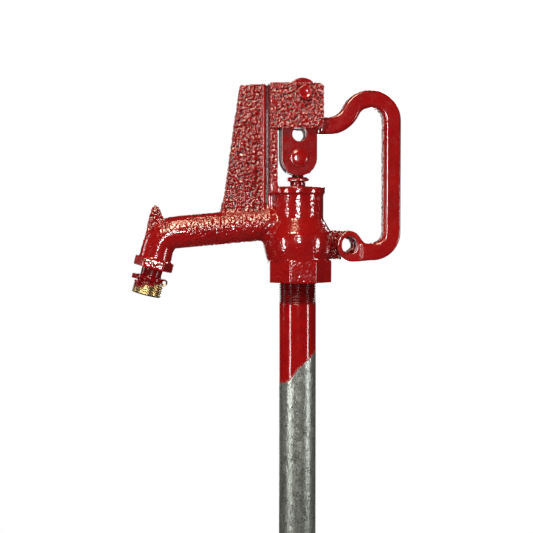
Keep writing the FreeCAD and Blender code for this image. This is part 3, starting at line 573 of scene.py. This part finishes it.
POST_ROUGH, BALL_ROUGH, BASE_ROUGH = 0.6, 0.09, 0.10
SPOUT_ROUGH, UPPER_ROUGH, UNDER_ROUGH = 0.16, 0.22, 0.08            # all over, above, beneath
YOKE_EDGE_ROUGH, YOKE_FACE_ROUGH = 0.4, 0.6
SEAM_CALM = 1.5                  # above 1, so the groove's sides are smooth as well
HEAD_GRAIN, HEAD_RELIEF = 2.3 * MM, 1.15 * MM

BEADS = [(BEAD_X - BEAD_LEAN * (BEAD_TOP - h), h) for h in np.arange(BEAD_TOP, BEAD_END, -BEAD_STEP)]


def bell(squared, width):
    """A bell curve over a squared distance."""
    return np.exp(-squared / (2 * width ** 2))


def build_head():
    """The CAD casting with softened edges, rough where the mould was rough."""
    mesh = remeshed([NODES["head_casting"].data], CASTING_VOXEL)
    co = coords(mesh) / MM
    x, h = co[:, 0], co[:, 2] - HEAD_Z / MM
    junction = bell((x - JUNCTION[0]) ** 2 + (h - JUNCTION[1]) ** 2, JUNCTION_WIDTH)
    foot = WEB_FOOT_SHARE * bell((h - WEB_FOOT_H) ** 2, WEB_FOOT_WIDTH) * smoothstep(*WEB_FOOT_RIGHT, x)
    foot *= smoothstep(*WEB_FOOT_LEFT, x)
    relax(mesh, CASTING_PASSES)
    relax(mesh, JUNCTION_PASSES, np.clip(junction + foot, 0.0, 1.0))
    co, no = coords(mesh), normals(mesh)
    x, y, h = co[:, 0] / MM, co[:, 1] / MM, (co[:, 2] - HEAD_Z) / MM
    flat = np.abs(no[:, 1])
    on_web = np.abs(y) < MARKS_HALF_DEPTH
    over_spout = smoothstep(*MARKS_FOOT, h)
    groove = over_spout * np.exp(-((x - SEAM_X) / SEAM_WIDTH) ** 4) * on_web
    ridge = over_spout * np.exp(-((x - RIDGE_X) / RIDGE_WIDTH) ** 2) * flat * on_web
    marks = np.zeros(len(co))
    for bead_x, bead_h in BEADS:
        distance = np.hypot((x - bead_x) / BEAD_HALF_WIDTH, (h - bead_h) / BEAD_HALF_HEIGHT)
        marks = np.maximum(marks, smoothstep(*BEAD_EDGE, distance))
    marks *= flat * on_web
    web = smoothstep(*WEB_FOOT, h) * smoothstep(*WEB_EDGE, x) * (1.0 - BEAD_CALM * marks)
    yoke = smoothstep(*YOKE_FOOT, h) * smoothstep(*POST_EDGE, x)
    post = smoothstep(*POST_FOOT, h) * smoothstep(*POST_EDGE, x) * POST_ROUGH
    hook = smoothstep(*HOOK_X, x) * smoothstep(*HOOK_FOOT, h)
    spout = smoothstep(*SPOUT_X, x) * smoothstep(*SPOUT_TOP, h)
    upper, under = smoothstep(*SPOUT_UPPER, h), smoothstep(*SPOUT_UNDER, h)
    spout *= SPOUT_ROUGH + UPPER_ROUGH * upper + UNDER_ROUGH * under
    spout *= 1.0 - ELBOW_CALM * (smoothstep(*ELBOW_X, x) * smoothstep(*ELBOW_FOOT, h))
    lug = smoothstep(*LUG_X, x) * (h < LUG_TOP)
    ball = smoothstep(*BALL_X, x) * smoothstep(*BALL_FOOT, h) * smoothstep(*BALL_TOP, h) * BALL_ROUGH
    outside = (np.hypot(x, y) > BORE_RADIUS) | (h > BORE_TOP)
    base = smoothstep(*BASE_TOP, h) * smoothstep(*BASE_FLAT, flat) * BASE_ROUGH
    yoke *= YOKE_EDGE_ROUGH + YOKE_FACE_ROUGH * flat
    weight = np.maximum.reduce([base, web, yoke, post, hook, spout, lug, ball])
    weight = np.clip(weight, 0.0, 1.0) * outside * (1.0 - np.clip(groove * SEAM_CALM, 0.0, 1.0))
    raised = (BEAD_HEIGHT * marks + RIDGE_HEIGHT * ridge - SEAM_DEPTH * groove) * MM
    hollow_shade = pebbled(mesh, weight, HEAD_GRAIN, HEAD_RELIEF, raised)
    # Painted shade: the groove between post and web joins the hollows, so the paint draws it dark.
    put_attribute(mesh, "hollow_shade", np.clip(hollow_shade + groove, 0.0, 1.0))
    add_object("head_body", mesh, "hydrant", "red_casting", "head_casting", material=CASTING)


LEVER_VOXEL, LEVER_PASSES = 0.5 * MM, 6
LEVER_GRAIN, LEVER_RELIEF = 2.3 * MM, 0.55 * MM
LEVER_RAISED = -0.03 * MM                    # below 0, so the highest grains stay inside the CAD
LEVER_SMOOTH, LEVER_ROUGH = 0.10, 0.8        # grain everywhere, and what the inner side has besides
INNER_X, INNER_FOOT = (20, 86), 34
SIDE_NORMAL, INNER_NORMAL = (0.75, 0.35), (0.2, -0.3)      # of the normal's Y and X parts
HUB, HUB_RADIUS = (3.8, 169.6), 8
CRANK, CRANK_RADIUS = (0.2, 152.7), 6


def build_lever():
    """The handle: a smooth face, a rough inner side, none at the hub's and the crank pin's holes."""
    mesh = remeshed([NODES["handle_lever"].data], LEVER_VOXEL)
    relax(mesh, LEVER_PASSES)
    co, no = coords(mesh), normals(mesh)
    x, h = co[:, 0] / MM, (co[:, 2] - HEAD_Z) / MM
    side = smoothstep(*SIDE_NORMAL, np.abs(no[:, 1]))
    within = (x < INNER_X[1]) & (x > INNER_X[0]) & (h > INNER_FOOT)
    inner = side * within * smoothstep(*INNER_NORMAL, no[:, 0])
    weight = np.clip(LEVER_SMOOTH + LEVER_ROUGH * inner, 0.0, 1.0)
    weight *= np.hypot(x - HUB[0], h - HUB[1]) > HUB_RADIUS
    weight *= np.hypot(x - CRANK[0], h - CRANK[1]) > CRANK_RADIUS
    hollow_shade = pebbled(mesh, weight, LEVER_GRAIN, LEVER_RELIEF, LEVER_RAISED)
    # The lever's hollows are stored for the paint's painted shade.
    put_attribute(mesh, "hollow_shade", hollow_shade)
    add_object("lever", mesh, "handle", "red_lever", "handle_lever", material=LEVER)


def skin(name, node, body, slot, material, voxel, passes):
    """A node's shape with softened edges."""
    mesh = remeshed([NODES[node].data], voxel)
    relax(mesh, passes)
    add_object(name, mesh, body, slot, node, material=material)


build_head()
build_lever()
for plate in ("link_front", "link_rear"):
    skin(plate + "_plate", plate, "link", "red_links", SHADED_LINKS, voxel=0.42 * MM, passes=5)
skin("stem_eye_forging", "stem_eye", "rod", "zinc_steel", ZINC, voxel=0.4 * MM, passes=5)
skin("foot_valve", "valve_body", "hydrant", "valve_bronze", BRONZE, voxel=0.6 * MM, passes=6)


# ------------------------------------------------------------ turned pieces
def across(node):
    """A frame in the middle plane at a node's centre, whose Z points to -Y."""
    lo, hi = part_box(node)
    centre = (lo + hi) / 2
    place = head(centre.x / MM, 0.0, (centre.z - HEAD_Z) / MM)
    return Matrix.Translation(place) @ Matrix.Rotation(math.radians(90), 4, "X")


PIPE_RADIUS, PIPE_BORE = 16.7, 13.3
THREAD_LENGTH, PIPE_THREAD_DEPTH = 19.3, 1.15
PIPE_RINGS = 30                  # between the pipe's foot and its thread


def build_riser():
    lo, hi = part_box("riser_pipe")
    z0, z1, top = lo.z / MM, hi.z / MM, HEAD_Z / MM
    plain = top - 34 - z0
    rows = [(z0, PIPE_BORE), (z0, 15.6), (z0 + 0.8, 16.4), (z0 + 14, PIPE_RADIUS)]
    rows += [(z0 + 14 + plain * k / PIPE_RINGS, PIPE_RADIUS) for k in range(1, PIPE_RINGS + 1)]
    rows += thread_rows(top - THREAD_LENGTH, top + 1.0, PIPE_RADIUS, PIPE_THREAD_DEPTH)
    rows += [(z1 - 0.6, 16.4), (z1, 15.8), (z1, PIPE_BORE)]
    rows += [(z1 - 60, PIPE_BORE), (z0 + 60, PIPE_BORE)]
    mesh = turned("riser", rows)
    add_object("riser", mesh, "hydrant", "galvanised_pipe", "riser_pipe", material=RISER)


OUTLET_TILT = math.radians(14.7)
COLLAR_TO_THREAD = 17.9 * MM     # from the collar's mouth, where the profile's 0 is, to the mount
NOZZLE_VOXEL, NOZZLE_PASSES, NOZZLE_SIDES = 0.29 * MM, 2, 120
EAR_OUTLINE = ((-16.3, -3.0), (-9.5, -3.5), (-9.5, 3.5), (-16.3, 3.0))
EAR_HEIGHTS = (-12.1, -7.7)
EYELET_CENTRE = Vector((13.2, 0.0, -9.8))
EYELET_RADIUS, EYELET_WIRE, EYELET_HALF_WIDTH = 2.3, 0.85, 1.25
EYELET_SIDES, WIRE_SIDES = 48, 16


def eyelet_loop(turn, place):
    """A section of the eyelet's flattened wire, at an angle round its ring."""
    loop = []
    for j in range(WIRE_SIDES):
        t = 2 * math.pi * j / WIRE_SIDES
        reach = EYELET_RADIUS + EYELET_WIRE * math.cos(t)
        wire = Vector((reach * math.cos(turn), EYELET_HALF_WIDTH * math.sin(t), reach * math.sin(turn)))
        loop.append(place @ (EYELET_CENTRE * MM + MM * wire))
    return loop


def build_nozzle():
    """Shank, stop flange with its ear and eyelet, relief and thread, in one skin."""
    mount = [m for m in frame["record"]["mounts"] if m["name"] == "hose_thread"][0]
    down = Vector(mount["axis"]).normalized()
    origin = Vector(mount["pos_m"]) - down * COLLAR_TO_THREAD
    place = Matrix.Translation(origin) @ Matrix.Rotation(OUTLET_TILT, 4, "Y")
    rows = [(11.6, 8.0), (12.0, 8.5), (12.0, 9.8), (11.2, 10.5), (0.0, 10.5), (-0.2, 9.5), (-6.6, 9.5),
            (-7.0, 10.2), (-7.1, 11.6), (-7.6, 12.1), (-10.2, 12.1), (-11.4, 11.5), (-11.6, 10.7),
            (-12.9, 10.6)]
    rows += thread_rows(-13.1, -22.9, 13.4, 1.0, run_out=0.4)
    rows += [(-23.4, 13.1), (-24.0, 12.5), (-24.25, 11.8), (-24.25, 8.6), (-23.8, 8.0)]
    barrel = turned("barrel", rows, place, NOZZLE_SIDES)
    ear_loops = [[place @ Vector((x * MM, y * MM, z * MM)) for x, y in EAR_OUTLINE] for z in EAR_HEIGHTS]
    ear = rings_mesh("ear", ear_loops)
    turns = (2 * math.pi * k / EYELET_SIDES for k in range(EYELET_SIDES))
    eyelet = rings_mesh("eyelet", [eyelet_loop(turn, place) for turn in turns], closed=True)
    mesh = remeshed([barrel, ear, eyelet], NOZZLE_VOXEL)
    relax(mesh, NOZZLE_PASSES)
    add_object("nozzle", mesh, "hydrant", "nozzle_brass", "hose_nozzle", material=NOZZLE)


NUT_FLATS, BOLT_FLATS, PIVOT_NUT_FLATS = 19.0, 11.8, 13.0      # across the hexagons' flats


def build_packing_nut():
    lo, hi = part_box("packing_nut")
    base = Matrix.Translation(Vector((0, 0, lo.z)))
    depth = (hi.z - lo.z) / MM
    rows = [(0.0, 5.75), (0.0, 6.7), (0.6, 7.0), (depth - 5.2, 7.0), (depth - 4.3, 7.1), (depth - 4.2, 8.6)]
    for below_top, limit in ((3.8, 9.9), (3.0, 10.7), (1.8, 10.9), (0.9, 10.3), (0.3, 9.1)):
        rows.append((depth - below_top, hexagon(NUT_FLATS, limit)))
    rows += [(depth, 7.6), (depth, 6.4), (depth - 0.5, 5.8)]
    mesh = turned("packing_nut_body", rows, base)
    add_object("gland_nut", mesh, "hydrant", "red_fittings", "packing_nut", material=FITTING)


FITTING_SIDES = 72
BOLT_RADIUS, BOLT_THREAD_DEPTH, BOLT_PITCH = 3.95, 0.45, 1.25


def build_pivot():
    """Bolt, nut and washer; their profiles run along -Y, so the back of the hydrant comes first."""
    place = across("pivot_bolt")
    y0, y1 = (v.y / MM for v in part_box("pivot_bolt"))
    rows = [(-y1, 2.6), (-y1 + 0.6, 3.5)]
    rows += thread_rows(-y1 + 0.7, -19.2, BOLT_RADIUS, BOLT_THREAD_DEPTH, BOLT_PITCH, steps=8, run_out=0.5)
    rows += [(18.7, BOLT_RADIUS), (18.9, 5.4)]
    for z, limit in ((18.95, 6.0), (19.5, 6.8), (22.4, 6.8), (23.1, 6.3), (-y0, 5.6)):
        rows.append((z, hexagon(BOLT_FLATS, limit)))
    rows += [(-y0, 4.6), (-y0 - 0.35, 4.2), (-y0 - 0.35, 0.6)]
    mesh = turned("pivot_bolt_body", rows, place, FITTING_SIDES, closed=False)
    add_object("pivot_screw", mesh, "hydrant", "red_fittings", "pivot_bolt", material=FITTING)
    n0, n1 = (v.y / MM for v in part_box("pivot_nut"))
    rows = [(-n1 + 0.3, 4.0), (-n1, 4.7)]
    for z, limit in ((-n1, 6.3), (-n1 + 0.8, 7.4), (-n0 - 0.8, 7.4), (-n0, 6.4)):
        rows.append((z, hexagon(PIVOT_NUT_FLATS, limit)))
    rows += [(-n0, 4.5), (-n0 - 0.4, 4.0)]
    mesh = turned("pivot_nut_body", rows, place, FITTING_SIDES)
    add_object("pivot_hex_nut", mesh, "hydrant", "red_fittings", "pivot_nut", material=FITTING)
    w0, w1 = (v.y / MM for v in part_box("pivot_washer"))
    rows = [(-w1, 4.2), (-w1, 7.4), (-w1 + 0.4, 7.95), (-w0 - 0.2, 7.95), (-w0, 7.7), (-w0, 4.2)]
    mesh = turned("pivot_washer_body", rows, place, FITTING_SIDES)
    add_object("pivot_flat_washer", mesh, "hydrant", "red_fittings", "pivot_washer", material=FITTING)


PIN_RADIUS = 3.9
DOME_FOOT, DOME_HEIGHT, DOME_RADIUS, DOME_POWER, DOME_RINGS = 12.9, 1.3, 6.9, 0.8, 12
DOME_TIP = 0.35                  # radius of the flat at the dome's top


def build_rod_pin():
    """A plain pin with a rimmed, domed head to the front."""
    place = across("rod_pin")
    y1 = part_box("rod_pin")[1].y / MM
    rows = [(-y1, 2.9), (-y1 + 0.7, PIN_RADIUS), (-y1 + 2.2, PIN_RADIUS), (-12.0, PIN_RADIUS),
            (11.7, PIN_RADIUS), (11.85, 7.6), (12.1, 8.1), (12.8, 8.1), (13.1, 7.8), (12.9, 7.3)]
    for k in range(1, DOME_RINGS + 1):
        t = math.radians(90.0 * k / DOME_RINGS)
        radius = DOME_RADIUS * math.cos(t) ** DOME_POWER if k < DOME_RINGS else DOME_TIP
        rows.append((DOME_FOOT + DOME_HEIGHT * math.sin(t), radius))
    mesh = turned("rod_pin_body", rows, place, FITTING_SIDES, closed=False)
    add_object("rod_pin_rivet", mesh, "link", "red_fittings", "rod_pin", material=FITTING)


STEM_RADIUS, STEM_RINGS, STEM_SIDES = 5.28, 12, 64


def build_stem():
    lo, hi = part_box("stem")
    z0, z1 = lo.z / MM, hi.z / MM
    rows = [(z0, 3.9), (z0 + 0.8, 5.0), (z0 + 22.0, STEM_RADIUS)]
    rows += [(z0 + 22 + (z1 - z0 - 24) * k / STEM_RINGS, STEM_RADIUS) for k in range(1, STEM_RINGS + 1)]
    rows += [(z1 - 0.8, 5.1), (z1, 4.2)]
    mesh = turned("stem_body", rows, Matrix.Identity(4), STEM_SIDES, closed=False)
    add_object("stem_rod", mesh, "rod", "polished_brass", "stem", material=STEM)


build_riser()
build_nozzle()
build_packing_nut()
build_pivot()
build_rod_pin()
build_stem()

# Pieces that keep the CAD's mesh.
CARRIED = {
    "gland_washer": BRASS, "packing_rings": GRAPHITE, "packing_follower": BRASS, "pivot_bushing": BRASS,
    "crank_pin": ZINC, "rod_pin_clip": CLIP, "rod_coupling": BRASS, "operating_rod": ROD,
    "plunger_disc": RUBBER, "plunger_body": BRASS, "plunger_screw": ZINC, "valve_seat": BRASS,
    "drain_fitting": BRASS,
}
for node, material in CARRIED.items():
    data = NODES[node].data
    data.materials.clear()
    data.materials.append(material)

# ------------------------------------------------------- floor and lighting
FLOOR_RADIUS, FLOOR_SIDES, FLOOR_Z = 1.9, 96, -0.0005
FLOOR_PALE, FLOOR_PALER = (0.80, 0.80, 0.79), (0.84, 0.84, 0.83)
FLOOR_ROUGH, FLOOR_GLOW = 0.75, 0.22


def floor_point(k):
    t = 2 * math.pi * k / FLOOR_SIDES
    return (FLOOR_RADIUS * math.cos(t), FLOOR_RADIUS * math.sin(t), FLOOR_Z)


floor_mesh = bpy.data.meshes.new("floor")
floor_mesh.from_pydata([floor_point(k) for k in range(FLOOR_SIDES)], [], [tuple(range(FLOOR_SIDES))])
floor = bpy.data.objects.new("floor", floor_mesh)
bpy.context.scene.collection.objects.link(floor)
pale = Shader("pale_floor")
cloudy = pale.mix(pale.noise(6.0), FLOOR_PALE, FLOOR_PALER)
floor_mesh.materials.append(pale.finish(cloudy, FLOOR_ROUGH, Emission_Strength=FLOOR_GLOW))
floor.visible_glossy = False

world = bpy.data.worlds.new("studio")
bpy.context.scene.world = world
world.use_nodes = True
world_tree = world.node_tree
world_tree.nodes.clear()
WHITE, COOL = (1.0, 1.0, 1.0, 1.0), (0.95, 0.97, 1.0, 1.0)
SKY_SEEN, SKY_FILL, SKY_IN_GLOSS = 1.0, 0.13, 0.02       # to the camera, to the rest, to reflections


def background(color, strength):
    node = world_tree.nodes.new("ShaderNodeBackground")
    node.inputs["Color"].default_value = color
    node.inputs["Strength"].default_value = strength
    return node.outputs[0]


def either(choice, no, yes):
    node = world_tree.nodes.new("ShaderNodeMixShader")
    for socket, source in zip(node.inputs, (choice, no, yes)):
        world_tree.links.new(source, socket)
    return node.outputs[0]


world_out = world_tree.nodes.new("ShaderNodeOutputWorld")
path = world_tree.nodes.new("ShaderNodeLightPath")
unseen = either(path.outputs["Is Glossy Ray"], background(COOL, SKY_FILL), background(COOL, SKY_IN_GLOSS))
sky = either(path.outputs["Is Camera Ray"], unseen, background(WHITE, SKY_SEEN))
world_tree.links.new(sky, world_out.inputs["Surface"])


def softbox(name, place, target, width, height, watts, tint=(1.0, 1.0, 1.0)):
    """A soft light from a place towards a target: round if as wide as high, else oblong."""
    data = bpy.data.lights.new(name, "AREA")
    data.shape = "ELLIPSE" if height == width else "RECTANGLE"
    data.size, data.size_y = width, height
    data.energy = watts
    data.color = tint
    lamp = bpy.data.objects.new(name, data)
    lamp.location = place
    lamp.rotation_mode = "QUATERNION"
    lamp.rotation_quaternion = (Vector(target) - Vector(place)).to_track_quat("-Z", "Y")
    bpy.context.scene.collection.objects.link(lamp)


def around(azimuth, distance, height):
    """A place at an azimuth from the front, -Y, measured towards the grip, and above the head."""
    t = math.radians(azimuth)
    return (distance * math.sin(t), -distance * math.cos(t), HEAD_Z + height)


AIM = (0.0, 0.0, HEAD_Z + 0.06)
LOW_AIM = (0.0, 0.0, HEAD_Z - 0.30)
AMBER, WARM = (1.0, 0.74, 0.50), (1.0, 0.80, 0.58)
STRIP_DISTANCE, STRIP_WIDTH = 1.45, 0.14
STRIPS = (      # name, azimuth, middle above the head's underside, height, watts
    ("left", -54.0, -0.17, 0.52, 5.4),
    ("front", -4.0, 0.155, 0.25, 5.6),
    ("right", 61.0, -0.17, 0.52, 5.4),
)
# Three standing strips draw the upright streaks on the neck and the riser.
for label, azimuth, middle, tall, watts in STRIPS:
    place = around(azimuth, STRIP_DISTANCE, middle)
    softbox("strip_" + label, place, (0.0, 0.0, place[2]), STRIP_WIDTH, tall, watts)
softbox("top", (-0.20, -0.30, HEAD_Z + 1.15), AIM, width=0.40, height=0.40, watts=3.4, tint=AMBER)
softbox("key", around(-22.0, 0.98, 0.92), AIM, width=0.42, height=0.46, watts=14.5, tint=WARM)
softbox("back_left", around(-166.0, 1.15, 0.02), AIM, width=0.40, height=0.95, watts=1.6)
softbox("edge_left", around(-105.0, 1.1, 0.25), AIM, width=0.20, height=0.7, watts=1.8)
softbox("back", around(150.0, 1.25, 0.75), AIM, width=0.7, height=0.5, watts=10.0)
softbox("back_low", around(172.0, 1.5, -0.22), LOW_AIM, width=0.30, height=0.7, watts=2.4)

# The camera looks slightly down, from a little to the spout's side.
AZIMUTH, ELEVATION, DISTANCE = math.radians(-6.0), math.radians(2.4), 1.1
LENS, SENSOR = 82.1, 36.0
level_reach = math.cos(ELEVATION)
back = Vector((math.sin(AZIMUTH) * level_reach, -math.cos(AZIMUTH) * level_reach, math.sin(ELEVATION)))
target = head(-28.3, 0.0, 14.2)
camera_data = bpy.data.cameras.new("camera")
camera_data.lens, camera_data.sensor_width = LENS, SENSOR
camera_data.dof.use_dof = False
camera = bpy.data.objects.new("camera", camera_data)
camera.location = target + back * DISTANCE
camera.rotation_mode = "QUATERNION"
camera.rotation_quaternion = (-back).to_track_quat("-Z", "Y")
bpy.context.scene.collection.objects.link(camera)
bpy.context.scene.camera = camera
bpy.context.scene.view_settings.view_transform = "Standard"
